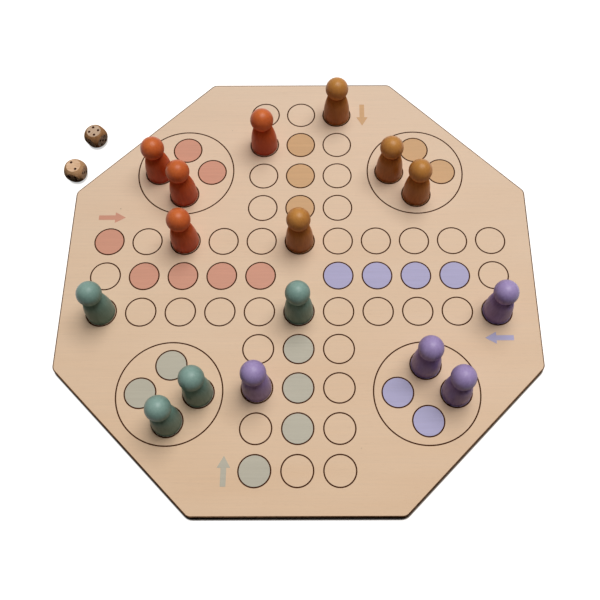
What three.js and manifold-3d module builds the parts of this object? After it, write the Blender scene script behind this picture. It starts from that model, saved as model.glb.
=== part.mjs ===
// Ludo set: an octagonal wooden board, four pawns for each of four players, and two dice.
// Millimetres, +Z up. The origin is the middle of the board's underside, and the green player sits at -Y.

import * as THREE from "three";
import { mergeVertices } from "three/addons/utils/BufferGeometryUtils.js";
import Module from "manifold-3d";

const wasm = await Module();
wasm.setup();

// Cells of the track: engraved rings on a square grid, measured on the line's middle
const ringDiameter = 24;
const cellGap = 7.5;
const cellsPerArm = 5;
const grooveWidth = 1;
const grooveDepth = 0.5;

// Home bases: four rings on a cross inside one large ring
const baseCellGap = 7.5;
const baseRingMargin = 6.5;
const baseArmGap = 14;

// Board
const boardThickness = 8;
const boardEdgeMargin = 21;
const boardCornerRadius = 6;
const boardEdgeChamfer = 0.5;

// Print on the board: filled cells and one arrow for each player
const inkThickness = 0.125;
const inkRingClearance = 0.1;
const arrowLength = 22.5;
const arrowHeadLength = 8.8;
const arrowHeadWidth = 10;
const arrowShaftWidth = 4.2;
const arrowRingGap = 5.7;

// Pawns: a ball head on a bell that stands just inside its ring
const pawnHeight = 46.6;
const pawnHeadDiameter = 19.3;
const pawnNeckDiameter = 12.7;
const pawnBellyHeight = 4;
const pawnFootChamfer = 0.5;
const pawnRingClearance = 0.25;

// Dice, lying on the table beyond the board's upper left edge
const dieSize = 16;
const dieBallDiameter = 20.2;
const pipSpacing = 5.5;
const pipDiameter = 2.3;
const pipDepth = 0.4;
const diePlaces = [
  { edgeGap: 23.1, along: -31.6, tumble: [0, 90, -123] },
  { edgeGap: 7.6, along: -66.1, tumble: [-90, 0, -12] },
];

// Facets of the round forms
const ringFacets = 16;
const baseRingFacets = 32;
const cornerFacets = 2;
const pawnFacets = 16;
const pawnCurveSteps = 4;
const dieBallFacets = 24;
const pipFacets = 8;

// Layout that follows from the sizes above
const cellPitch = ringDiameter + cellGap;
const armHalfWidth = cellPitch + ringDiameter / 2;
const baseCellOffset = (ringDiameter + baseCellGap) / Math.SQRT2;
const baseRingRadius = baseCellOffset + ringDiameter / 2 + baseRingMargin;
const baseCentre = armHalfWidth + baseArmGap + baseRingRadius;
const boardHalfWidth = cellsPerArm * cellPitch + ringDiameter / 2 + boardEdgeMargin;
const arrowOffset = armHalfWidth + arrowRingGap + arrowHeadWidth / 2;

const compass = { north: [0, 1], east: [1, 0], south: [0, -1], west: [-1, 0] };

// The four players in clockwise order, starting with the one on the left, and where their pawns stand
const players = [
  {
    name: "red",
    paint: 0xcc662c,
    print: 0xcb8e74,
    pawns: [{ base: "west" }, { base: "south" }, { cell: [-3, 1] }, { cell: [-1, 4] }],
  },
  {
    name: "ochre",
    paint: 0xc2843c,
    print: 0xc99d6d,
    pawns: [{ cell: [1, 5] }, { base: "west" }, { base: "south" }, { cell: [0, 1] }],
  },
  {
    name: "purple",
    paint: 0xa894c2,
    print: 0xa7a1c4,
    pawns: [{ cell: [5, -1] }, { base: "north" }, { base: "east" }, { cell: [-1, -3] }],
  },
  {
    name: "green",
    paint: 0x86a399,
    print: 0xb5ae9b,
    pawns: [{ cell: [-5, -1] }, { cell: [0, -1] }, { base: "east" }, { base: "south" }],
  },
];

const boardColour = 0xdebf9f;
const dieColour = 0xcca37d;
const woodRoughness = 0.65;
const paintRoughness = 0.5;
const inkRoughness = 0.6;

// Turns a place clockwise about the board's centre by whole quarter turns.
function turned([x, y], quarters) {
  const places = [[x, y], [y, -x], [-x, -y], [-y, x]];
  return places[quarters];
}

function cellPlace([column, row]) {
  return [column * cellPitch, row * cellPitch];
}

function basePlace(quarters, direction) {
  const [x, y] = turned([-baseCentre, baseCentre], quarters);
  const [dx, dy] = compass[direction];
  return [x + dx * baseCellOffset, y + dy * baseCellOffset];
}

function placeName([x, y]) {
  return `${x.toFixed(2)} ${y.toFixed(2)}`;
}

// A closed geometry as a solid that can be cut.
function toSolid(geometry) {
  const bare = geometry.clone();
  bare.deleteAttribute("normal");
  bare.deleteAttribute("uv");
  const merged = mergeVertices(bare);
  const mesh = new wasm.Mesh({
    numProp: 3,
    vertProperties: merged.getAttribute("position").array,
    triVerts: Uint32Array.from(merged.index.array),
  });
  return new wasm.Manifold(mesh);
}

function toGeometry(solid) {
  const { vertProperties, triVerts } = solid.getMesh();
  const geometry = new THREE.BufferGeometry();
  geometry.setAttribute("position", new THREE.BufferAttribute(vertProperties, 3));
  geometry.setIndex(new THREE.BufferAttribute(triVerts, 1));
  geometry.computeVertexNormals();
  return geometry;
}

function cutAll(blank, cutters) {
  const cut = cutters.reduce((solid, cutter) => solid.subtract(toSolid(cutter)), blank);
  return toGeometry(cut);
}

function addPiece(group, name, geometry, color, roughness) {
  const material = new THREE.MeshStandardMaterial({ color, roughness, metalness: 0 });
  const piece = new THREE.Mesh(geometry, material);
  piece.name = name;
  group.add(piece);
  return piece;
}

// Regular octagon with rounded corners and two sides across each axis
function boardOutline() {
  const side = Math.PI / 4;
  const cornerDistance = (boardHalfWidth - boardCornerRadius) / Math.cos(side / 2);
  const outline = new THREE.Shape();
  for (let corner = 0; corner < 8; corner += 1) {
    const start = corner * side;
    const x = cornerDistance * Math.cos(start + side / 2);
    const y = cornerDistance * Math.sin(start + side / 2);
    outline.absarc(x, y, boardCornerRadius, start, start + side);
  }
  return outline;
}

// V-shaped ring that cuts one engraved line, with its point down in the wood
function grooveCutter([x, y], radius, facets) {
  const inner = radius - grooveWidth / 2;
  const outer = radius + grooveWidth / 2;
  const profile = [
    new THREE.Vector2(radius, -grooveDepth),
    new THREE.Vector2(outer, 0),
    new THREE.Vector2(outer, grooveDepth),
    new THREE.Vector2(inner, grooveDepth),
    new THREE.Vector2(inner, 0),
    new THREE.Vector2(radius, -grooveDepth),
  ];
  const cutter = new THREE.LatheGeometry(profile, facets);
  return cutter.rotateX(Math.PI / 2).translate(x, y, boardThickness);
}

function boardGeometry() {
  const blank = new THREE.ExtrudeGeometry(boardOutline(), {
    depth: boardThickness - 2 * boardEdgeChamfer,
    curveSegments: cornerFacets,
    bevelThickness: boardEdgeChamfer,
    bevelSize: boardEdgeChamfer,
    bevelOffset: -boardEdgeChamfer,
    bevelSegments: 1,
  });
  blank.translate(0, 0, boardEdgeChamfer);
  const cutters = [];
  for (let column = -cellsPerArm; column <= cellsPerArm; column += 1) {
    for (let row = -cellsPerArm; row <= cellsPerArm; row += 1) {
      const nearest = Math.min(Math.abs(column), Math.abs(row));
      const atCentre = column === 0 && row === 0;
      if (nearest <= 1 && !atCentre) {
        cutters.push(grooveCutter(cellPlace([column, row]), ringDiameter / 2, ringFacets));
      }
    }
  }
  for (let quarters = 0; quarters < players.length; quarters += 1) {
    const centre = turned([-baseCentre, baseCentre], quarters);
    cutters.push(grooveCutter(centre, baseRingRadius, baseRingFacets));
    for (const direction of Object.keys(compass)) {
      cutters.push(grooveCutter(basePlace(quarters, direction), ringDiameter / 2, ringFacets));
    }
  }
  return cutAll(toSolid(blank), cutters);
}

// Filled disc of ink inside a ring
function inkDiscGeometry() {
  const radius = ringDiameter / 2 - grooveWidth / 2 - inkRingClearance;
  const disc = new THREE.CylinderGeometry(radius, radius, inkThickness, ringFacets);
  return disc.rotateX(Math.PI / 2).translate(0, 0, inkThickness / 2);
}

// Arrow that points along +X, with its middle at the origin
function inkArrowGeometry() {
  const tail = -arrowLength / 2;
  const tip = arrowLength / 2;
  const neck = tip - arrowHeadLength;
  const upperHalf = [
    [tail, arrowShaftWidth / 2],
    [neck, arrowShaftWidth / 2],
    [neck, arrowHeadWidth / 2],
  ];
  const lowerHalf = upperHalf.map(([x, y]) => [x, -y]);
  const points = [...lowerHalf, [tip, 0], ...upperHalf.reverse()];
  const outline = new THREE.Shape(points.map(([x, y]) => new THREE.Vector2(x, y)));
  return new THREE.ExtrudeGeometry(outline, { depth: inkThickness, bevelEnabled: false });
}

// Turned in one piece: foot, bell that narrows in a curve to the neck, and ball head
function pawnGeometry() {
  const footRadius = ringDiameter / 2 - grooveWidth / 2 - pawnRingClearance;
  const neckRadius = pawnNeckDiameter / 2;
  const headRadius = pawnHeadDiameter / 2;
  const headCentre = pawnHeight - headRadius;
  const neckAngle = -Math.acos(neckRadius / headRadius);
  const neckHeight = headCentre + headRadius * Math.sin(neckAngle);
  const profile = new THREE.Path();
  profile.moveTo(0, 0);
  profile.lineTo(footRadius - pawnFootChamfer, 0);
  profile.lineTo(footRadius, pawnFootChamfer);
  profile.lineTo(footRadius, pawnBellyHeight);
  profile.quadraticCurveTo(footRadius, (pawnBellyHeight + neckHeight) / 2, neckRadius, neckHeight);
  profile.absarc(0, headCentre, headRadius, neckAngle, Math.PI / 2);
  const pawn = new THREE.LatheGeometry(profile.getPoints(pawnCurveSteps), pawnFacets);
  return pawn.rotateX(Math.PI / 2);
}

// Pips of each face in units of the pip spacing, and the turn that takes the top to that face, in degrees
const corners = [[-1, -1], [-1, 1], [1, -1], [1, 1]];
const dieFaces = [
  { pips: [[0, 0]], turn: [0, 0] },
  { pips: [[-1, 1], [1, -1]], turn: [90, 0] },
  { pips: [[-1, 1], [0, 0], [1, -1]], turn: [0, 90] },
  { pips: corners, turn: [0, -90] },
  { pips: [...corners, [0, 0]], turn: [-90, 0] },
  { pips: [...corners, [-1, 0], [1, 0]], turn: [180, 0] },
];

// Cube turned down to a ball, so that each face is a round flat, with a drilled dimple for each pip
function dieGeometry() {
  const cutters = [];
  for (const { pips, turn } of dieFaces) {
    const [aboutX, aboutY] = turn.map(THREE.MathUtils.degToRad);
    for (const [x, y] of pips) {
      const dimple = new THREE.ConeGeometry(pipDiameter, 2 * pipDepth, pipFacets);
      dimple.rotateX(-Math.PI / 2).translate((x * pipSpacing) / 2, (y * pipSpacing) / 2, dieSize / 2);
      cutters.push(dimple.rotateX(aboutX).rotateY(aboutY));
    }
  }
  const cube = new THREE.BoxGeometry(dieSize, dieSize, dieSize);
  const ball = new THREE.SphereGeometry(dieBallDiameter / 2, dieBallFacets, dieBallFacets / 2);
  return cutAll(toSolid(cube).intersect(toSolid(ball)), cutters);
}

const ludoSet = new THREE.Group();
addPiece(ludoSet, "board", boardGeometry(), boardColour, woodRoughness);

// Print: the start cell, the path to the centre, the base's cells and the arrow of each player
const inkDisc = inkDiscGeometry();
const inkArrow = inkArrowGeometry();
const printedPlaces = new Set();

function printCell(name, place, color) {
  const print = addPiece(ludoSet, name, inkDisc, color, inkRoughness);
  print.position.set(...place, boardThickness);
  printedPlaces.add(placeName(place));
}

players.forEach(({ name, print }, quarters) => {
  printCell(`${name}_start_print`, turned(cellPlace([-cellsPerArm, 1]), quarters), print);
  for (let step = 1; step < cellsPerArm; step += 1) {
    printCell(`${name}_path_print_${step}`, turned(cellPlace([step - cellsPerArm, 0]), quarters), print);
  }
  for (const direction of Object.keys(compass)) {
    printCell(`${name}_base_print_${direction}`, basePlace(quarters, direction), print);
  }
  const arrow = addPiece(ludoSet, `${name}_arrow_print`, inkArrow, print, inkRoughness);
  const arrowPlace = turned([-cellsPerArm * cellPitch, arrowOffset], quarters);
  arrow.position.set(...arrowPlace, boardThickness);
  arrow.rotation.z = (-quarters * Math.PI) / 2;
});

// Pawns stand on the bare board or on a printed cell
const pawnShape = pawnGeometry();

players.forEach(({ name, paint, pawns }, quarters) => {
  pawns.forEach(({ base, cell }, index) => {
    const place = base ? basePlace(quarters, base) : cellPlace(cell);
    const bed = printedPlaces.has(placeName(place)) ? inkThickness : 0;
    const pawn = addPiece(ludoSet, `${name}_pawn_${index + 1}`, pawnShape, paint, paintRoughness);
    pawn.position.set(...place, boardThickness + bed);
  });
});

// Dice lie on the table, out from the upper left edge and along it from its middle
const dieShape = dieGeometry();
const dieReach = dieBallDiameter / 2;

diePlaces.forEach(({ edgeGap, along, tumble }, index) => {
  const out = boardHalfWidth + edgeGap + dieReach;
  const x = (along - out) / Math.SQRT2;
  const y = (along + out) / Math.SQRT2;
  const die = addPiece(ludoSet, `die_${index + 1}`, dieShape, dieColour, woodRoughness);
  die.position.set(x, y, dieSize / 2);
  die.rotation.set(...tumble.map(THREE.MathUtils.degToRad), "ZYX");
});

export default ludoSet;
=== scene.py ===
# %% [markdown]
# # A wooden ludo set
# The set is an octagonal plywood board with engraved rings, thin printed colour fields, sixteen turned
# pawns and two dice. The solids come in first, each at its real place in metres, with the board's
# underside in the middle of the scene. They could be shown as they are with better finishes, but a burnt
# groove, a scorched rim and a round pawn want finer faces, so each piece below is made anew to its
# solid's size. It takes the solid's place and rides on the body that carries it.

# %% Load the solids
import math

import bmesh
import bpy
from mathutils import Matrix, Vector
from mathutils.geometry import interpolate_bezier


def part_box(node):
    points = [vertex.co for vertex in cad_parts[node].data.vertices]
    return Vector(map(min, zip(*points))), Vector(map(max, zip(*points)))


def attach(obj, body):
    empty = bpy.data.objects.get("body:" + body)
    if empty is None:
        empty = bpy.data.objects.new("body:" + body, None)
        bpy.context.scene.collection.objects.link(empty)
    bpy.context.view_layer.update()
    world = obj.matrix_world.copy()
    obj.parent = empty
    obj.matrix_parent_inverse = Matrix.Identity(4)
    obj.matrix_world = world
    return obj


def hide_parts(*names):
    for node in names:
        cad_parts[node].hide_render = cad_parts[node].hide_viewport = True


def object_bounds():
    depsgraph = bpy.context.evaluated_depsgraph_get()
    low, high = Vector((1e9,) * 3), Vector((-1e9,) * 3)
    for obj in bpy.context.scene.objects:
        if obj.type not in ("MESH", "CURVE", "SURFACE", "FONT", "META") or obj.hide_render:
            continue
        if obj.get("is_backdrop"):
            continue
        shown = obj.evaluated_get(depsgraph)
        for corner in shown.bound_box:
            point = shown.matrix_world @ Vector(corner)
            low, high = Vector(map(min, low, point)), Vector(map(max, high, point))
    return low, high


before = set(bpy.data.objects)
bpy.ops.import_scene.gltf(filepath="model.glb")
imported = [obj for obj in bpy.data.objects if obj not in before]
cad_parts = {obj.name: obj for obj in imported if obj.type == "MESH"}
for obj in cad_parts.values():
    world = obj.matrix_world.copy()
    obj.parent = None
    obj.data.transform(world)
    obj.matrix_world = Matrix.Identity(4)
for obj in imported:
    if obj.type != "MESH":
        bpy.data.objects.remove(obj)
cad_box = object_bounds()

MM = 0.001

# %% [markdown]
# # The camera
# The picture was taken from the players' side, high above the table, with a normal lens. A camera
# could be aimed with a constraint, but three turns and a place say exactly where it stands: it tips up
# from looking straight down, turns a hair about the upright, and rolls a hair. The lens comes from the
# focal length in pixels of a picture 600 pixels wide, and the shift from where the lens's axis meets that
# picture.

# %% Camera
PICTURE_PX = 600
FOCAL_PX = 807.8
AXIS_PX = (322.9, 285.0)
SENSOR_WIDTH = 36
EYE = Vector((20.22, -275.11, 603.31)) * MM
ELEVATION, AZIMUTH, ROLL = math.radians(65.867), math.radians(0.245), math.radians(-0.405)

lens = bpy.data.cameras.new("picture_camera")
lens.sensor_fit = "HORIZONTAL"
lens.sensor_width = SENSOR_WIDTH
lens.lens = SENSOR_WIDTH * FOCAL_PX / PICTURE_PX
lens.shift_x = (PICTURE_PX / 2 - AXIS_PX[0]) / PICTURE_PX
lens.shift_y = (AXIS_PX[1] - PICTURE_PX / 2) / PICTURE_PX
camera = bpy.data.objects.new("picture_camera", lens)
tip = Matrix.Rotation(math.pi / 2 - ELEVATION, 4, "X")
camera.matrix_world = (
    Matrix.Translation(EYE) @ Matrix.Rotation(AZIMUTH, 4, "Z") @ tip @ Matrix.Rotation(ROLL, 4, "Z")
)
bpy.context.scene.collection.objects.link(camera)
bpy.context.scene.camera = camera
bpy.context.scene.view_settings.view_transform = "Standard"
print("lens", round(lens.lens, 2), "mm, shift", round(lens.shift_x, 4), round(lens.shift_y, 4))

# %% [markdown]
# # Helpers for colours and nodes
# Colours are written as the hex values a paint program shows, which are sRGB. Blender's sockets take
# linear light, so one function converts them. Another small function adds any shader node with its own
# settings, and for each input either a value or the socket that feeds it. A Mix node lists its sockets of
# every kind in one row: 0 is the factor, 2 and 3 take numbers, 6 and 7 take colours, and a mixed colour
# leaves by output 2. Nodes could also be joined by hand in the editor, but written down they come out the
# same on every run.

# %% Colour and node helpers
MIX_NUMBERS = {"data_type": "FLOAT"}
MIX_COLOURS = {"data_type": "RGBA"}
TINT_COLOURS = {"data_type": "RGBA", "blend_type": "MULTIPLY"}
NOISE_SPAN = {"From Min": 0.3, "From Max": 0.7}  # where nearly all of a noise texture lies


def linear(hex_colour):
    channels = [int(hex_colour[i : i + 2], 16) / 255 for i in (1, 3, 5)]
    return [c / 12.92 if c <= 0.04045 else ((c + 0.055) / 1.055) ** 2.4 for c in channels] + [1.0]


def add_node(tree, kind, settings=None, inputs=None):
    node = tree.nodes.new("ShaderNode" + kind)
    for name, value in (settings or {}).items():
        setattr(node, name, value)
    for name, value in (inputs or {}).items():
        if isinstance(value, bpy.types.NodeSocket):
            tree.links.new(value, node.inputs[name])
        else:
            node.inputs[name].default_value = value
    return node


def empty_material(name):
    material = bpy.data.materials.new(name)
    material.use_nodes = True
    material.node_tree.nodes.clear()
    return material, material.node_tree


print("mid grey in linear light:", round(linear("#808080")[0], 3))

# %% [markdown]
# # Plywood grain
# The board's face is a thin veneer of pale birch whose fibres run from left to right. Grain could be
# drawn with a wave texture, but its even lines look printed and real veneer is irregular. So noise is
# squeezed along the fibres instead: fine streaks, broad bands of tone, and short dark pores. Real pores
# are a tenth of a millimetre wide and would not show, so they are drawn five times as wide. The same
# grain shows through the thin printed ink, so it is one function that both finishes call.

# %% Grain pattern
# width across the fibres in mm, squeeze along them, detail and roughness of the noise
GRAIN = {"streaks": (1.5, 0.03, 3, 0.6), "bands": (24, 0.18, 2, 0.5), "pores": (0.55, 0.09, 1, 0.4)}
PORE_START, PORE_FULL = 0.64, 0.76


def ply_grain(tree):
    place = add_node(tree, "TexCoord").outputs["Object"]
    grain = {}
    for name, (width, squeeze, detail, rough) in GRAIN.items():
        along = add_node(tree, "Mapping", inputs={"Vector": place, "Scale": (squeeze, 1, 1)})
        sizes = {"Scale": 1 / (width * MM), "Detail": detail, "Roughness": rough}
        grain[name] = add_node(tree, "TexNoise", inputs={"Vector": along.outputs[0], **sizes}).outputs[0]
    dashes = add_node(
        tree, "MapRange", inputs={"Value": grain["pores"], "From Min": PORE_START, "From Max": PORE_FULL}
    )
    grain["pores"] = dashes.outputs[0]
    return grain


print("grain widths in mm:", {name: sizes[0] for name, sizes in GRAIN.items()})

# %% [markdown]
# # Sanded birch plywood
# The veneer is sanded and given a thin matt lacquer. A picture of veneer could be wrapped on the board,
# but a mix of nodes stays sharp at any distance and never repeats. Two tones are mixed by the broad
# bands, and the far side is painted paler, a painted sheen that stands for the lamp's reflection off the
# lacquer there. The streaks nudge the result lighter or darker, and the pores are small brown dashes.
# Three pin knots sit where this sheet has them.

# %% Board face finish
BOARD_THICKNESS = 8 * MM
# the far side's paler tone is painted sheen, standing for the lamp's reflection off the lacquer there
SHEEN_FADE_REACH = 180 * MM
SHEEN_FADE_MOST = 0.6
VENEER_LIGHT, VENEER_DARK, VENEER_PAINTED_SHEEN = linear("#e6c7a7"), linear("#dcb792"), linear("#e2cab3")
PORE_BROWN, PORE_STRENGTH = linear("#a9825f"), 0.1
KNOT_BROWN = linear("#5a3a22")
KNOT_RADIUS = 0.9 * MM
# place in mm, strength
PIN_KNOTS = [((-151.3, 62.7), 0.6), ((-60.5, 141.5), 0.25), ((47.4, -141.0), 0.25)]


def veneer_colour(tree, grain):
    place = add_node(tree, "TexCoord").outputs["Object"]
    depth = add_node(tree, "SeparateXYZ", inputs={0: place}).outputs["Y"]
    tone = add_node(tree, "Mix", MIX_COLOURS, {0: grain["bands"], 6: VENEER_LIGHT, 7: VENEER_DARK})
    # painted sheen: the veneer turns paler towards the far side
    painted_sheen = add_node(
        tree,
        "MapRange",
        inputs={"Value": depth, "From Min": -SHEEN_FADE_REACH, "From Max": SHEEN_FADE_REACH, "To Max": SHEEN_FADE_MOST},
    )
    tone_and_sheen = add_node(tree, "Mix", MIX_COLOURS, {0: painted_sheen.outputs[0], 6: tone.outputs[2], 7: VENEER_PAINTED_SHEEN})
    streaked = add_node(
        tree, "MapRange", inputs={"Value": grain["streaks"], **NOISE_SPAN, "To Min": 0.97, "To Max": 1.025}
    )
    veneer = add_node(tree, "Mix", TINT_COLOURS, {0: 1.0, 6: tone_and_sheen.outputs[2], 7: streaked.outputs[0]})
    faint = add_node(tree, "Math", {"operation": "MULTIPLY"}, {0: grain["pores"], 1: PORE_STRENGTH})
    colour = add_node(
        tree, "Mix", MIX_COLOURS, {0: faint.outputs[0], 6: veneer.outputs[2], 7: PORE_BROWN}
    )
    for (x, y), strength in PIN_KNOTS:
        knot = (x * MM, y * MM, BOARD_THICKNESS)
        away = add_node(tree, "VectorMath", {"operation": "DISTANCE"}, {0: place, 1: knot})
        dot = add_node(
            tree,
            "MapRange",
            {"interpolation_type": "SMOOTHSTEP"},
            {"Value": away.outputs["Value"], "From Max": KNOT_RADIUS, "To Min": strength, "To Max": 0},
        )
        colour = add_node(
            tree, "Mix", MIX_COLOURS, {0: dot.outputs[0], 6: colour.outputs[2], 7: KNOT_BROWN}
        )
    return colour.outputs[2]


def birch_ply():
    # To the eye: a warm pale tan, faint streaks along the fibres, hardly any gloss and very little relief.
    material, tree = empty_material("birch_ply_face")
    grain = ply_grain(tree)
    gloss = add_node(
        tree, "MapRange", inputs={"Value": grain["streaks"], **NOISE_SPAN, "To Min": 0.58, "To Max": 0.68}
    )
    relief = add_node(
        tree, "Bump", inputs={"Height": grain["streaks"], "Strength": 0.12, "Distance": 0.1 * MM}
    )
    shader = add_node(
        tree,
        "BsdfPrincipled",
        inputs={
            "Base Color": veneer_colour(tree, grain),
            "Roughness": gloss.outputs[0],
            "IOR": 1.45,
            "Normal": relief.outputs[0],
        },
    )
    add_node(tree, "OutputMaterial", inputs={"Surface": shader.outputs[0]})
    return material


board_face = birch_ply()
print("finish:", board_face.name, "with", len(board_face.node_tree.nodes), "nodes")

# %% [markdown]
# # Burnt cut edge and burnt lines
# A laser cuts the outline and engraves the rings, and both come out charred. The cut edge could be one
# flat brown, but the layers of the plywood still show there as faint bands, because end grain burns
# darker than long grain. So one noise, squeezed flat, draws the layers and a coarser one the soot. The
# engraved lines are too narrow for any pattern but a slight unevenness of the char. Char is dull, so the
# edge has no highlight and the lines next to none.

# %% Burnt finishes
PLY_LAYER = 1.35 * MM
SOOT_PATCH = 3.5 * MM
SOOT_SPAN = {"From Min": 0.12, "From Max": 0.4}  # where the product of both noises lies
CHAR_PATCH = 2 * MM


def burnt_edge():
    # To the eye: a dull dark brown in faint level bands.
    material, tree = empty_material("laser_burnt_ply_edge")
    place = add_node(tree, "TexCoord").outputs["Object"]
    flat = add_node(tree, "Mapping", inputs={"Vector": place, "Scale": (0.01, 0.01, 1)})
    layers = add_node(
        tree, "TexNoise", inputs={"Vector": flat.outputs[0], "Scale": 1 / PLY_LAYER, "Detail": 0}
    )
    soot = add_node(tree, "TexNoise", inputs={"Vector": place, "Scale": 1 / SOOT_PATCH, "Detail": 3})
    both = add_node(tree, "Math", {"operation": "MULTIPLY"}, {0: layers.outputs[0], 1: soot.outputs[0]})
    spread = add_node(tree, "MapRange", inputs={"Value": both.outputs[0], **SOOT_SPAN})
    colour = add_node(
        tree, "Mix", MIX_COLOURS, {0: spread.outputs[0], 6: linear("#4a3120"), 7: linear("#7c5c42")}
    )
    relief = add_node(
        tree, "Bump", inputs={"Height": both.outputs[0], "Strength": 0.3, "Distance": 0.2 * MM}
    )
    shader = add_node(
        tree,
        "BsdfPrincipled",
        inputs={
            "Base Color": colour.outputs[2],
            "Roughness": 0.9,
            "Specular IOR Level": 0,
            "Normal": relief.outputs[0],
        },
    )
    add_node(tree, "OutputMaterial", inputs={"Surface": shader.outputs[0]})
    return material


def burnt_mark(name, patch, dark, light):
    # To the eye: a thin dark brown mark, not quite even.
    material, tree = empty_material(name)
    place = add_node(tree, "TexCoord").outputs["Object"]
    char = add_node(tree, "TexNoise", inputs={"Vector": place, "Scale": 1 / patch, "Detail": 2})
    colour = add_node(tree, "Mix", MIX_COLOURS, {0: char.outputs[0], 6: linear(dark), 7: linear(light)})
    shader = add_node(
        tree,
        "BsdfPrincipled",
        inputs={"Base Color": colour.outputs[2], "Roughness": 0.9, "Specular IOR Level": 0.1},
    )
    add_node(tree, "OutputMaterial", inputs={"Surface": shader.outputs[0]})
    return material


cut_edge = burnt_edge()
engraved_line = burnt_mark("engraved_burnt_line", CHAR_PATCH, "#3e1f0a", "#582d0f")
print("finishes:", cut_edge.name, engraved_line.name)

# %% [markdown]
# # The board
# The blank is a regular octagon 381 mm across flats and 8 mm thick, with corners rounded to 6 mm and a
# hairline arris. It could be a cylinder with eight sides, but a circle of eight vertices is easier to
# round: its corners are bevelled flat, the face is extruded upwards and the two rims are bevelled. Both
# faces are then inset by a third of a millimetre, because the laser scorches the veneer beside its cut.
# What lies inside that rim is veneer, and all the rest is burnt. A finished piece is an object at the
# origin whose place is in its mesh, so a small helper turns each bmesh into such an object. Another
# extrudes flat faces to plates, which the prints need too.

# %% Board blank
BOARD_SIDES = 8
BOARD_HALF_WIDTH = 190.5 * MM
BOARD_CORNER_RADIUS = 6 * MM
BOARD_ARRIS = 0.6 * MM
BOARD_SCORCH = 0.35 * MM
CORNER_STEPS, ARRIS_STEPS = 8, 2
EIGHTH_TURN = 2 * math.pi / BOARD_SIDES
HAIR = 0.001 * MM  # points or heights closer than this count as one
NEARLY_LEVEL = 0.99  # upright part of a level face's normal
FACE, EDGE = 0, 1


def make_piece(name, bm, finishes):
    mesh = bpy.data.meshes.new(name)
    bm.to_mesh(mesh)
    bm.free()
    for finish in finishes:
        mesh.materials.append(finish)
    piece = bpy.data.objects.new(name, mesh)
    bpy.context.scene.collection.objects.link(piece)
    return piece


def thicken(bm, thickness):
    raised = bmesh.ops.extrude_face_region(bm, geom=bm.faces[:])["geom"]
    top = [v for v in raised if isinstance(v, bmesh.types.BMVert)]
    bmesh.ops.translate(bm, verts=top, vec=(0, 0, thickness))
    bmesh.ops.recalc_face_normals(bm, faces=bm.faces)


def board_blank():
    bm = bmesh.new()
    corner = BOARD_HALF_WIDTH / math.cos(EIGHTH_TURN / 2)
    bmesh.ops.create_circle(bm, cap_ends=True, segments=BOARD_SIDES, radius=corner)
    bmesh.ops.rotate(bm, verts=bm.verts, matrix=Matrix.Rotation(EIGHTH_TURN / 2, 3, "Z"))
    rounding = BOARD_CORNER_RADIUS * math.tan(EIGHTH_TURN / 2)
    round_over = {"profile": 0.5, "material": -1}
    corners = {"offset": rounding, "segments": CORNER_STEPS, "affect": "VERTICES", **round_over}
    bmesh.ops.bevel(bm, geom=bm.verts[:], **corners)
    thicken(bm, BOARD_THICKNESS)
    rims = [e for e in bm.edges if abs(e.verts[0].co.z - e.verts[1].co.z) < HAIR]
    arris = {"offset": BOARD_ARRIS, "segments": ARRIS_STEPS, "affect": "EDGES", **round_over}
    bmesh.ops.bevel(bm, geom=rims, **arris)
    bm.normal_update()
    flats = [f for f in bm.faces if abs(f.normal.z) > NEARLY_LEVEL]
    bmesh.ops.inset_individual(bm, faces=flats, thickness=BOARD_SCORCH, use_even_offset=True)
    for face in bm.faces:
        face.material_index = FACE if face in flats else EDGE
    return make_piece("plywood_board", bm, [board_face, cut_edge, engraved_line])


board = board_blank()
print("board blank:", len(board.data.polygons), "faces")

# %% [markdown]
# # The engraved rings
# The track is a cross of ring cells on a square grid, without the middle one, and each corner has a large
# ring with four cells on a cross. Each line is a groove about a millimetre wide. Every circle could be
# inset into the face, but with so many rings it is simpler to spin a small groove section into a ring,
# copy it to every place and cut all the copies away at once with a Boolean modifier. The faces that a
# cutter leaves keep the cutter's own finish, which is how the lines turn dark.

# %% Cell places
RING_RADIUS = 12 * MM
CELL_PITCH = 31.5 * MM
CELLS_PER_ARM = 5
BASE_RING_MARGIN, BASE_ARM_GAP = 6.5 * MM, 14 * MM
BASE_CELL_OFFSET = CELL_PITCH / math.sqrt(2)
BASE_RING_RADIUS = BASE_CELL_OFFSET + RING_RADIUS + BASE_RING_MARGIN
BASE_CENTRE = CELL_PITCH + RING_RADIUS + BASE_ARM_GAP + BASE_RING_RADIUS
COMPASS = {"north": (0, 1), "east": (1, 0), "south": (0, -1), "west": (-1, 0)}
PLAYERS = ["red", "ochre", "purple", "green"]
QUARTERS = range(len(PLAYERS))


def quarter_turned(place, quarters):
    x, y = place
    return [(x, y), (y, -x), (-x, -y), (-y, x)][quarters]


def cell_place(column, row):
    return (column * CELL_PITCH, row * CELL_PITCH)


def base_place(quarters, direction):
    x, y = quarter_turned((-BASE_CENTRE, BASE_CENTRE), quarters)
    dx, dy = COMPASS[direction]
    return (x + dx * BASE_CELL_OFFSET, y + dy * BASE_CELL_OFFSET)


steps = range(-CELLS_PER_ARM, CELLS_PER_ARM + 1)
track_cells = [(c, r) for c in steps for r in steps if min(abs(c), abs(r)) <= 1 and (c, r) != (0, 0)]
cell_rings = [cell_place(c, r) for c, r in track_cells]
cell_rings += [base_place(quarters, side) for quarters in QUARTERS for side in COMPASS]
base_rings = [quarter_turned((-BASE_CENTRE, BASE_CENTRE), quarters) for quarters in QUARTERS]
print("rings:", len(cell_rings), "cells and", len(base_rings), "bases")

# %% Groove cutter
GROOVE_WIDTH = 1.1 * MM
GROOVE_DEPTH = 0.4 * MM
CELL_SEGMENTS, BASE_SEGMENTS = 64, 160
FULL_TURN = {"cent": (0, 0, 0), "axis": (0, 0, 1), "angle": 2 * math.pi, "use_merge": True}


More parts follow.
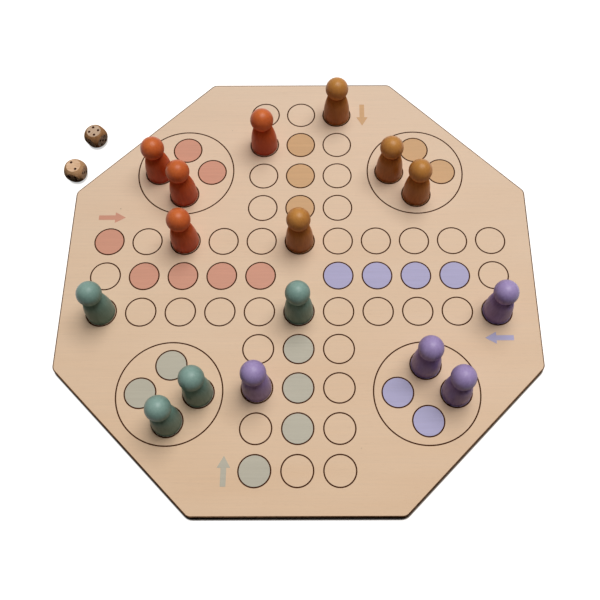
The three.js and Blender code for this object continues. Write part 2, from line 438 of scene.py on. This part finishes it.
def groove_ring(radius, segments):
    wide, narrow, deep = GROOVE_WIDTH / 2, GROOVE_WIDTH / 3, -GROOVE_DEPTH
    section = [(-wide, wide), (-wide, 0), (-narrow, deep), (narrow, deep), (wide, 0), (wide, wide)]
    bm = bmesh.new()
    verts = [bm.verts.new((radius + across, 0, BOARD_THICKNESS + height)) for across, height in section]
    edges = [bm.edges.new(pair) for pair in zip(verts, verts[1:] + verts[:1])]
    bmesh.ops.spin(bm, geom=verts + edges, steps=segments, **FULL_TURN)
    bmesh.ops.recalc_face_normals(bm, faces=bm.faces)
    ring = bpy.data.meshes.new("groove_ring")
    bm.to_mesh(ring)
    bm.free()
    return ring


def copy_rings(bm, ring, places):
    for x, y in places:
        bm.from_mesh(ring)
        bmesh.ops.translate(bm, verts=bm.verts[-len(ring.vertices) :], vec=(x, y, 0))


grooves = bmesh.new()
copy_rings(grooves, groove_ring(RING_RADIUS, CELL_SEGMENTS), cell_rings)
copy_rings(grooves, groove_ring(BASE_RING_RADIUS, BASE_SEGMENTS), base_rings)
ring_cutter = make_piece("ring_cutter", grooves, [engraved_line])
print("ring cutter:", len(ring_cutter.data.polygons), "faces")

# %% Cut the rings
CRISP_EDGE = 30


def carve(piece, cutter):
    cut = piece.modifiers.new("carve", "BOOLEAN")
    cut.operation = "DIFFERENCE"
    cut.solver = "MANIFOLD"
    cut.material_mode = "TRANSFER"
    cut.object = cutter
    shown = piece.evaluated_get(bpy.context.evaluated_depsgraph_get())
    carved = bpy.data.meshes.new_from_object(shown)
    piece.modifiers.clear()
    piece.data = carved
    bpy.data.objects.remove(cutter)


def smooth_but_for_edges(piece, degrees):
    for polygon in piece.data.polygons:
        polygon.use_smooth = True
    piece.data.set_sharp_from_angle(angle=math.radians(degrees))


carve(board, ring_cutter)
smooth_but_for_edges(board, CRISP_EDGE)
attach(board, "board")
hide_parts("board")
print("engraved board:", len(board.data.polygons), "faces,", len(board.data.materials), "finishes")

# %% [markdown]
# # Printed ink
# Each player's start cell, path, base and arrow are printed in a soft tint. Screen ink on bare veneer is
# a film so thin that the grain still shows, and a little smoother than the wood. It could be made
# see-through over the board, but that is slow to render and hard to match, so the tint is mixed into the
# same grain as the board's instead, with the pores almost gone.

# %% Ink finish
INK_TINTS = {"red": "#cb8e74", "ochre": "#c99d6d", "purple": "#a7a1c4", "green": "#b5ae9b"}


def screen_ink(name, tint):
    # To the eye: a soft flat tint with the wood's streaks just showing through.
    material, tree = empty_material(name)
    grain = ply_grain(tree)
    streaked = add_node(
        tree, "MapRange", inputs={"Value": grain["streaks"], **NOISE_SPAN, "To Min": 0.95, "To Max": 1.04}
    )
    patchy = add_node(
        tree, "MapRange", inputs={"Value": grain["bands"], **NOISE_SPAN, "To Min": 1.03, "To Max": 0.97}
    )
    shade = add_node(
        tree, "Math", {"operation": "MULTIPLY"}, {0: streaked.outputs[0], 1: patchy.outputs[0]}
    )
    film = add_node(tree, "Mix", TINT_COLOURS, {0: 1.0, 6: linear(tint), 7: shade.outputs[0]})
    faint = add_node(tree, "Math", {"operation": "MULTIPLY"}, {0: grain["pores"], 1: PORE_STRENGTH})
    colour = add_node(tree, "Mix", MIX_COLOURS, {0: faint.outputs[0], 6: film.outputs[2], 7: PORE_BROWN})
    relief = add_node(
        tree, "Bump", inputs={"Height": grain["streaks"], "Strength": 0.08, "Distance": 0.1 * MM}
    )
    shader = add_node(
        tree,
        "BsdfPrincipled",
        inputs={
            "Base Color": colour.outputs[2],
            "Roughness": 0.55,
            "IOR": 1.48,
            "Normal": relief.outputs[0],
        },
    )
    add_node(tree, "OutputMaterial", inputs={"Surface": shader.outputs[0]})
    return material


inks = {player: screen_ink(f"{player}_screen_ink", tint) for player, tint in INK_TINTS.items()}
print("inks:", ", ".join(inks))

# %% [markdown]
# # The printed fields
# A field is a disc that just fills its ring, and the arrow is an outline of seven corners. They could be
# masks in the board's own finish, but as thin faces, extruded by the film's thickness, their edges stay
# crisp at any distance. All of a player's print is one piece, because it never comes apart.

# %% Printed fields
INK_FILM = 0.125 * MM
INK_RADIUS = 11.45 * MM
ARROW_LENGTH, ARROW_HEAD = 22.5 * MM, 8.8 * MM
ARROW_HEAD_WIDTH, ARROW_SHAFT_WIDTH = 10 * MM, 4.2 * MM
ARROW_GAP = 5.7 * MM
ARROW_OFFSET = CELL_PITCH + RING_RADIUS + ARROW_GAP + ARROW_HEAD_WIDTH / 2


def ink_disc(bm, place):
    at = Matrix.Translation((place[0], place[1], BOARD_THICKNESS))
    bmesh.ops.create_circle(bm, cap_ends=True, segments=CELL_SEGMENTS, radius=INK_RADIUS, matrix=at)


def ink_arrow(bm, quarters):
    x, y = quarter_turned((-CELLS_PER_ARM * CELL_PITCH, ARROW_OFFSET), quarters)
    at = Matrix.Translation((x, y, BOARD_THICKNESS)) @ Matrix.Rotation(-quarters * math.pi / 2, 4, "Z")
    tail, tip = -ARROW_LENGTH / 2, ARROW_LENGTH / 2
    neck, shaft, barb = tip - ARROW_HEAD, ARROW_SHAFT_WIDTH / 2, ARROW_HEAD_WIDTH / 2
    near_side = [(tail, -shaft), (neck, -shaft), (neck, -barb), (tip, 0)]
    far_side = [(neck, barb), (neck, shaft), (tail, shaft)]
    bm.faces.new([bm.verts.new(at @ Vector((px, py, 0))) for px, py in near_side + far_side])


def print_of(player, quarters):
    bm = bmesh.new()
    ink_disc(bm, quarter_turned(cell_place(-CELLS_PER_ARM, 1), quarters))
    for step in range(1, CELLS_PER_ARM):
        ink_disc(bm, quarter_turned(cell_place(step - CELLS_PER_ARM, 0), quarters))
    for side in COMPASS:
        ink_disc(bm, base_place(quarters, side))
    ink_arrow(bm, quarters)
    thicken(bm, INK_FILM)
    piece = make_piece(f"{player}_print", bm, [inks[player]])
    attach(piece, "board")
    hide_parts(*[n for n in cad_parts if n.startswith(f"{player}_") and "_print" in n])
    return piece


prints = [print_of(player, quarters) for quarters, player in enumerate(PLAYERS)]
print("printed pieces:", [p.name for p in prints])

# %% [markdown]
# # Dipped paint and painted shade
# The pawns are dipped in a thin paint. It could be one even colour, but a dipped coat sinks into the
# wood, so faint upright streaks of grain come through. Over that, painted shade darkens the colour down
# the pawn: a ramp up the pawn says how far the colour is multiplied by itself, most at the foot and round
# the neck, less on the lower head and not at all on the crown, where the light falls strongest.

# %% Paint colour
PAWN_HEIGHT = 46.6 * MM
PAINT_GRAIN, PAINT_SOAK = 1.6 * MM, 14 * MM
SOAK_SHARE = 0.45
COAT_SPAN = {"From Min": 0.35, "From Max": 0.65}
# part of the pawn's height, how much painted shade there (how far the colour is multiplied by itself)
PAINTED_SHADE_RAMP = [(0, 0.8), (0.58, 0.5), (0.635, 0.8), (0.7, 0.5), (0.84, 0.4), (0.94, 0.25), (1, 0)]


def up_the_pawn(tree, place, levels):
    height = add_node(tree, "SeparateXYZ", inputs={0: place}).outputs["Z"]
    foot, crown = BOARD_THICKNESS, BOARD_THICKNESS + PAWN_HEIGHT
    part = add_node(tree, "MapRange", inputs={"Value": height, "From Min": foot, "From Max": crown})
    ramp = add_node(tree, "ValToRGB", inputs={0: part.outputs[0]})
    stops = ramp.color_ramp.elements
    for level, _ in levels[1:-1]:
        stops.new(level)
    for stop, (_, value) in zip(stops, levels):
        stop.color = (value, value, value, 1)
    return ramp.outputs[0]


def upright_grain(tree, place):
    upright = add_node(tree, "Mapping", inputs={"Vector": place, "Scale": (1, 1, 0.08)})
    grain = {"Vector": upright.outputs[0], "Scale": 1 / PAINT_GRAIN, "Detail": 3, "Roughness": 0.6}
    return add_node(tree, "TexNoise", inputs=grain).outputs[0]


def coat_and_painted_shade(tree, place, grain, light, dark):
    soak = add_node(tree, "TexNoise", inputs={"Vector": place, "Scale": 1 / PAINT_SOAK, "Detail": 2})
    uneven = add_node(tree, "Mix", MIX_NUMBERS, {0: SOAK_SHARE, 2: grain, 3: soak.outputs[0]})
    spread = add_node(tree, "MapRange", inputs={"Value": uneven.outputs[0], **COAT_SPAN})
    coat = add_node(tree, "Mix", MIX_COLOURS, {0: spread.outputs[0], 6: linear(light), 7: linear(dark)})
    # painted shade: the coat is multiplied by itself as far as the ramp says, darkest low on the pawn
    depth = up_the_pawn(tree, place, PAINTED_SHADE_RAMP)
    deep = add_node(tree, "Mix", TINT_COLOURS, {0: depth, 6: coat.outputs[2], 7: coat.outputs[2]})
    return deep.outputs[2]


# the ramp printed below is the painted shade up the pawn
print("paint depth up the pawn:", PAINTED_SHADE_RAMP)

# %% [markdown]
# # Sheen of the paint
# Hands rub a pawn's head and bell to a satin, and round the neck, where the coat pools and no finger
# reaches, the paint dries dull. A clear coat over all would shine everywhere, so only the roughness
# changes, by a second ramp up the pawn. The turning tool leaves fine rings under the paint that only the
# light shows.

# %% Paint finish
# part of the pawn's height, roughness there
PAINT_SHEEN = [(0, 0.36), (0.42, 0.36), (0.55, 0.95), (0.72, 0.95), (0.85, 0.34), (1, 0.34)]
TOOL_RING = 0.5 * MM
PAINT_TONES = {
    "red": ("#d97134", "#c9622b"),
    "ochre": ("#cb8d44", "#bb7f39"),
    "purple": ("#b3a0cd", "#a28ebe"),
    "green": ("#90ada3", "#819f95"),
}


def satin_paint(name, light, dark):
    # To the eye: a deep colour, a soft highlight on the head and slightly paler sides on the bell.
    material, tree = empty_material(name)
    place = add_node(tree, "TexCoord").outputs["Object"]
    grain = upright_grain(tree, place)
    sheen = up_the_pawn(tree, place, PAINT_SHEEN)
    uneven = add_node(
        tree, "MapRange", inputs={"Value": grain, **NOISE_SPAN, "To Min": 0.9, "To Max": 1.1}
    )
    gloss = add_node(tree, "Math", {"operation": "MULTIPLY"}, {0: sheen, 1: uneven.outputs[0]})
    flat = add_node(tree, "Mapping", inputs={"Vector": place, "Scale": (0.02, 0.02, 1)})
    rings = add_node(
        tree, "TexNoise", inputs={"Vector": flat.outputs[0], "Scale": 1 / TOOL_RING, "Detail": 1}
    )
    marks = add_node(tree, "Mix", MIX_NUMBERS, {0: 0.5, 2: grain, 3: rings.outputs[0]})
    relief = add_node(
        tree, "Bump", inputs={"Height": marks.outputs[0], "Strength": 0.1, "Distance": 0.15 * MM}
    )
    shader = add_node(
        tree,
        "BsdfPrincipled",
        inputs={
            "Base Color": coat_and_painted_shade(tree, place, grain, light, dark),
            "Roughness": gloss.outputs[0],
            "IOR": 1.47,
            "Specular IOR Level": 0.25,
            "Normal": relief.outputs[0],
        },
    )
    add_node(tree, "OutputMaterial", inputs={"Surface": shader.outputs[0]})
    return material


paints = {player: satin_paint(f"{player}_satin_paint", *tones) for player, tones in PAINT_TONES.items()}
print("paints:", ", ".join(paints))

# %% [markdown]
# # The pawns
# A pawn is turned in one piece: a foot with an eased rim, a bell that curves in to the neck, and a ball
# head. A cone and a ball could be pushed into each other, but the two shells would stay separate at the
# neck. On a lathe the pawn is one profile, and here it is too: a few vertices for the foot, a smooth
# curve for the bell and an arc for the head, which comes from spinning the last vertex about the head's
# middle. The profile is then spun round the upright and welded at the seam and at both poles. Each pawn
# is moved to where its solid stands.

# %% Pawn shape
HEAD_RADIUS = 9.65 * MM
NECK_RADIUS = 6.35 * MM
FOOT_RADIUS = 11.25 * MM
BELLY_HEIGHT = 4 * MM
FOOT_EASE = 0.5 * MM
EASE_CORNER = 0.15 * FOOT_EASE
HANDLE_REACH = 2 / 3  # of the way from each end of the bell's curve to the point it bends towards
BELL_POINTS, HEAD_STEPS, TURN_STEPS = 17, 20, 72
PAWNS_EACH = 4


def spun_pawn():
    neck_angle = math.acos(NECK_RADIUS / HEAD_RADIUS)
    head_centre = PAWN_HEIGHT - HEAD_RADIUS
    neck_height = head_centre - HEAD_RADIUS * math.sin(neck_angle)
    rim = (FOOT_RADIUS - EASE_CORNER, EASE_CORNER)
    foot = [(0, 0), (FOOT_RADIUS - FOOT_EASE, 0), rim, (FOOT_RADIUS, FOOT_EASE)]
    belly, neck = Vector((FOOT_RADIUS, 0, BELLY_HEIGHT)), Vector((NECK_RADIUS, 0, neck_height))
    bend = Vector((FOOT_RADIUS, 0, (BELLY_HEIGHT + neck_height) / 2))
    handles = belly.lerp(bend, HANDLE_REACH), neck.lerp(bend, HANDLE_REACH)
    bell = interpolate_bezier(belly, *handles, neck, BELL_POINTS)
    bm = bmesh.new()
    outline = [Vector((radius, 0, height)) for radius, height in foot] + bell
    profile = [bm.verts.new(point) for point in outline]
    for pair in zip(profile, profile[1:]):
        bm.edges.new(pair)
    to_crown = {"cent": (0, 0, head_centre), "axis": (0, -1, 0), "angle": neck_angle + math.pi / 2}
    bmesh.ops.spin(bm, geom=profile[-1:], steps=HEAD_STEPS, **to_crown)
    bmesh.ops.spin(bm, geom=bm.verts[:] + bm.edges[:], steps=TURN_STEPS, **FULL_TURN)
    bmesh.ops.remove_doubles(bm, verts=bm.verts, dist=HAIR)
    bmesh.ops.recalc_face_normals(bm, faces=bm.faces)
    return bm


def stand_pawn(player, number):
    node = f"{player}_pawn_{number}"
    low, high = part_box(node)
    bm = spun_pawn()
    bmesh.ops.translate(bm, verts=bm.verts, vec=((low.x + high.x) / 2, (low.y + high.y) / 2, low.z))
    piece = make_piece(f"{player}_turned_pawn_{number}", bm, [paints[player]])
    smooth_but_for_edges(piece, CRISP_EDGE)
    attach(piece, node)
    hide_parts(node)
    return piece


pawns = [stand_pawn(player, number) for player in PLAYERS for number in range(1, PAWNS_EACH + 1)]
print("pawns:", len(pawns), "with", len(pawns[0].data.polygons), "faces each")

# %% [markdown]
# # Natural beech
# The dice are left natural. Beech shows as a warm tan with short darker flecks along the fibres. The
# turned rounding is given darker tones than the milled flats: a little of that is the end grain the tool
# cuts there, and most is painted shade for the dice's dark sides. The two dice's tones differ, and the
# second die's rounding is painted paler than the first's, as painted light where it faces the lamp. One
# wood for both dice would be simpler, but its fibres would run the same way in each, so every die has
# its own, turned with it by a Mapping node. The pips are burnt in like the board's lines.

# %% Dice finishes
BEECH_FLECK = 0.9 * MM
FLECK_STRETCH = 8
PIP_CHAR = 0.6 * MM


def natural_beech(name, turn, centre, light, dark):
    # To the eye: a dull warm tan, flecked along the fibres.
    material, tree = empty_material(name)
    place = add_node(tree, "TexCoord").outputs["Object"]
    along = add_node(
        tree,
        "Mapping",
        {"vector_type": "TEXTURE"},
        {"Vector": place, "Location": centre, "Rotation": (0, 0, turn), "Scale": (FLECK_STRETCH, 1, 1)},
    )
    flecks = {"Vector": along.outputs[0], "Scale": 1 / BEECH_FLECK, "Detail": 4, "Roughness": 0.65}
    fibres = add_node(tree, "TexNoise", inputs=flecks)
    tone = add_node(tree, "MapRange", inputs={"Value": fibres.outputs[0], **NOISE_SPAN})
    colour = add_node(tree, "Mix", MIX_COLOURS, {0: tone.outputs[0], 6: linear(light), 7: linear(dark)})
    relief = add_node(
        tree, "Bump", inputs={"Height": fibres.outputs[0], "Strength": 0.2, "Distance": 0.15 * MM}
    )
    shader = add_node(
        tree,
        "BsdfPrincipled",
        inputs={
            "Base Color": colour.outputs[2],
            "Roughness": 0.75,
            "IOR": 1.45,
            "Specular IOR Level": 0.03,
            "Normal": relief.outputs[0],
        },
    )
    add_node(tree, "OutputMaterial", inputs={"Surface": shader.outputs[0]})
    return material


burnt_pip = burnt_mark("burnt_pip", PIP_CHAR, "#35190d", "#512a17")
print("finish:", burnt_pip.name)

# %% [markdown]
# # The dice
# Such dice are milled as cubes and then turned to a ball, so every face is a round flat and nothing is
# left of the cube's edges. A bevelled cube would keep straight edges, so a ball is cut by six planes
# instead: each cut is a bisect that drops the outside, and the hole it leaves is filled. Small balls then
# cut the pips in the way the rings were cut, while the die still sits square at the origin, and the whole
# die is turned and moved at the end. Opposite faces add up to seven.

# %% Dice blanks and pips
DIE_SIZE = 16 * MM
DIE_BALL_RADIUS = 10.01 * MM
BALL_STEPS, PIP_STEPS, PIP_ROWS = 96, 24, 14
FLAT, TURNED = 0, 1
LARGEST_BALL_FACE = 8  # corners; a filled flat has many more
FLAT_DIGITS = 7  # decimals of a metre that are kept, so that every flat is exactly flat
PIP_STEP = 2.75 * MM
PIP_RADIUS = 1.15 * MM
PIP_DEPTH = 0.65 * MM  # deep enough to keep the balls of neighbouring pips apart
CORNERS = [(-1, -1), (-1, 1), (1, -1), (1, 1)]
DIE_FACES = [  # places of the pips, then the turns about X and Y that bring them to their face
    ([(0, 0)], (0, 0)),
    ([(-1, 1), (1, -1)], (90, 0)),
    ([(-1, 1), (0, 0), (1, -1)], (0, 90)),
    (CORNERS, (0, -90)),
    (CORNERS + [(0, 0)], (-90, 0)),
    (CORNERS + [(-1, 0), (1, 0)], (180, 0)),
]


def milled_die():
    bm = bmesh.new()
    fineness = {"u_segments": BALL_STEPS, "v_segments": BALL_STEPS // 2}
    bmesh.ops.create_uvsphere(bm, radius=DIE_BALL_RADIUS, **fineness)
    for axis in (Vector((1, 0, 0)), Vector((0, 1, 0)), Vector((0, 0, 1))):
        for side in (axis, -axis):
            ball = bm.verts[:] + bm.edges[:] + bm.faces[:]
            flat = {"plane_co": side * DIE_SIZE / 2, "plane_no": side}
            bmesh.ops.bisect_plane(bm, geom=ball, clear_outer=True, **flat)
            rim = [e for e in bm.edges if e.is_boundary]
            bmesh.ops.contextual_create(bm, geom=rim)
    for vert in bm.verts:
        vert.co = [round(c, FLAT_DIGITS) for c in vert.co]
    bmesh.ops.recalc_face_normals(bm, faces=bm.faces)
    for face in bm.faces:
        face.material_index = FLAT if len(face.verts) > LARGEST_BALL_FACE else TURNED
    return bm


def pip_balls():
    bm = bmesh.new()
    ball_radius = (PIP_RADIUS**2 + PIP_DEPTH**2) / (2 * PIP_DEPTH)
    for pips, (about_x, about_y) in DIE_FACES:
        tip, lean = math.radians(about_x), math.radians(about_y)
        turn = Matrix.Rotation(lean, 4, "Y") @ Matrix.Rotation(tip, 4, "X")
        for x, y in pips:
            middle = Vector((x * PIP_STEP, y * PIP_STEP, DIE_SIZE / 2 - PIP_DEPTH + ball_radius))
            at = Matrix.Translation(turn @ middle)
            ball = {"u_segments": PIP_STEPS, "v_segments": PIP_ROWS, "radius": ball_radius}
            bmesh.ops.create_uvsphere(bm, matrix=at, **ball)
    return bm


print("pips on a die:", sum(len(pips) for pips, _ in DIE_FACES))

# %% Lay the dice
DIE_CRISP_EDGE = 25
DICE = {  # turns about X, Y and Z in degrees, then light and dark tones of the flats and of the rounding
    # the rounding's darker tones are painted shade for the dark sides; die_2's paler rounding is painted
    # light
    "die_1": ((0, 90, -123), ("#dac2aa", "#bc9979"), ("#b98b60", "#875b37")),
    "die_2": ((-90, 0, -12), ("#f5d2b1", "#d4a67d"), ("#d0a67c", "#ab8058")),
}


def lay_die(node, degrees, flat_tones, shaded_turned_tones):
    low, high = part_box(node)
    centre = (low + high) / 2
    x, y, z = [math.radians(d) for d in degrees]
    turn = Matrix.Rotation(z, 4, "Z") @ Matrix.Rotation(y, 4, "Y") @ Matrix.Rotation(x, 4, "X")
    milled = natural_beech(f"milled_beech_{node}", z, centre, *flat_tones)
    turned = natural_beech(f"turned_beech_{node}", z, centre, *shaded_turned_tones)
    place = Matrix.Translation((centre.x, centre.y, DIE_SIZE / 2)) @ turn
    piece = make_piece(f"{node}_beech", milled_die(), [milled, turned])
    carve(piece, make_piece("pip_cutter", pip_balls(), [burnt_pip]))
    piece.data.transform(place)
    smooth_but_for_edges(piece, DIE_CRISP_EDGE)
    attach(piece, node)
    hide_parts(node)
    return piece


dice = [lay_die(node, *laid) for node, laid in DICE.items()]
print("dice:", [(d.name, len(d.data.polygons)) for d in dice])

# %% [markdown]
# # The floor
# The set lies on a plain white sweep that comes out pure white. A lit white floor would throw light up at
# every edge, so the floor shows white only to the camera, to reflections and through glass, where a
# steady glow is added to its own shading, and it is dark for the light that bounces. A glow alone would
# drown the shadow. So the glow fades in the narrow nooks that ambient occlusion finds where a piece meets
# the floor, a painted contact shadow, and the shading below it shows the lamp's own shadow there, tinted
# warm as painted bounce light from the wood. Beside the upper left edge, where the dice lie, the painted
# shadow is made fainter.

# %% Floor
FLOOR_GAP = 0.3 * MM  # keeps the floor clear of the undersides
FLOOR_HALF_WIDTH = 4
BOUNCE_GREY = (0.03, 0.03, 0.03, 1)
# the floor's shading colour is warm: painted bounce light from the wood in its shadows
WARM_SHADE = (0.35, 0.27, 0.21, 1)
NOOK_REACH = 2.4 * MM
NOOK_DEEP, NOOK_OPEN = 0.68, 0.84
BOARD_NOOK, DICE_NOOK = 0.02, 0.55
DICE_SIDE_START, DICE_SIDE_FULL = 193 * MM, 195 * MM


def seen_rays(tree):
    path = add_node(tree, "LightPath")
    rays = path.outputs["Is Camera Ray"]
    for kind in ("Is Glossy Ray", "Is Transmission Ray"):
        either = add_node(tree, "Math", {"operation": "MAXIMUM"}, {0: rays, 1: path.outputs[kind]})
        rays = either.outputs[0]
    return rays


def studio_floor():
    # To the eye: pure white, with a narrow soft shadow where the set touches it.
    material, tree = empty_material("studio_floor")
    place = add_node(tree, "TexCoord").outputs["Object"]
    turned = add_node(tree, "Mapping", inputs={"Vector": place, "Rotation": (0, 0, -EIGHTH_TURN)})
    out = add_node(tree, "SeparateXYZ", inputs={0: turned.outputs[0]}).outputs["Y"]
    # the painted contact shadow is made fainter past the upper left edge, where the dice lie
    past_edge = {"Value": out, "From Min": DICE_SIDE_START, "From Max": DICE_SIDE_FULL}
    painted_shadow_depth = add_node(tree, "MapRange", inputs={**past_edge, "To Min": BOARD_NOOK, "To Max": DICE_NOOK})
    # painted contact shadow: ambient occlusion dims the glow where a piece meets the floor
    nook = add_node(tree, "AmbientOcclusion", {"samples": 32}, {"Distance": NOOK_REACH})
    open_air = {"Value": nook.outputs["AO"], "From Min": NOOK_DEEP, "From Max": NOOK_OPEN}
    glow_with_painted_shadow = add_node(tree, "MapRange", inputs={**open_air, "To Min": painted_shadow_depth.outputs[0], "To Max": 1})
    glow = add_node(tree, "Emission", inputs={"Color": (1, 1, 1, 1), "Strength": glow_with_painted_shadow.outputs[0]})
    shade = add_node(tree, "BsdfDiffuse", inputs={"Color": WARM_SHADE})
    white = add_node(tree, "AddShader", inputs={0: shade.outputs[0], 1: glow.outputs[0]})
    grey = add_node(tree, "BsdfDiffuse", inputs={"Color": BOUNCE_GREY})
    shown = add_node(
        tree, "MixShader", inputs={0: seen_rays(tree), 1: grey.outputs[0], 2: white.outputs[0]}
    )
    add_node(tree, "OutputMaterial", inputs={"Surface": shown.outputs[0]})
    return material


sweep = bmesh.new()
bmesh.ops.create_grid(sweep, x_segments=1, y_segments=1, size=FLOOR_HALF_WIDTH)
bmesh.ops.translate(sweep, verts=sweep.verts, vec=(0, 0, -FLOOR_GAP))
floor = make_piece("studio_floor", sweep, [studio_floor()])
floor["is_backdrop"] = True
print("floor:", floor.name, 2 * FLOOR_HALF_WIDTH, "m wide")

# %% [markdown]
# # Lamp and sky
# The light in the picture comes from a large soft source above the board, a little behind it and to the
# right: the heads are bright on top, the pawns' fronts are dark, and short soft shadows fall towards the
# viewer and slightly to the left. A sun lamp would give hard shadows and a bright sky none, so one big
# area lamp does it, and a dim warm sky fills the shadows a little. Where the camera looks past the floor
# it sees plain white.

# %% Lamp and sky
LAMP_PLACE = Vector((0.72, 1.0, 3.95))
LAMP_TARGET = Vector((0, 0, 0))
LAMP_WIDTH = 2.7
LAMP_POWER = 172
SKY_TINT, SKY_STRENGTH = (1, 0.9, 0.75, 1), 0.01

softbox = bpy.data.lights.new("softbox", "AREA")
softbox.shape = "RECTANGLE"
softbox.size = LAMP_WIDTH
softbox.size_y = LAMP_WIDTH
softbox.energy = LAMP_POWER
lamp = bpy.data.objects.new("softbox", softbox)
facing = (LAMP_PLACE - LAMP_TARGET).to_track_quat("Z", "Y").to_matrix().to_4x4()
lamp.matrix_world = Matrix.Translation(LAMP_PLACE) @ facing
bpy.context.scene.collection.objects.link(lamp)

world = bpy.data.worlds.new("plain_sky")
world.use_nodes = True
sky = world.node_tree
sky.nodes.clear()
dim = add_node(sky, "Background", inputs={"Color": SKY_TINT, "Strength": SKY_STRENGTH})
white = add_node(sky, "Background", inputs={"Color": (1, 1, 1, 1), "Strength": 1})
shown = add_node(sky, "MixShader", inputs={0: seen_rays(sky), 1: dim.outputs[0], 2: white.outputs[0]})
add_node(sky, "OutputWorld", inputs={"Surface": shown.outputs[0]})
bpy.context.scene.world = world
print("lamp", LAMP_POWER, "W and sky", SKY_STRENGTH)

# %% [markdown]
# # Sizes
# The finished pieces keep to the solids' sizes. Both boxes are printed so that they can be compared:
# the visual one should never reach outside the other.

# %% Print both boxes
seen_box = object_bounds()
for name, (low, high) in {"solids": cad_box, "pieces": seen_box}.items():
    print(name, [round(v, 4) for v in high - low])
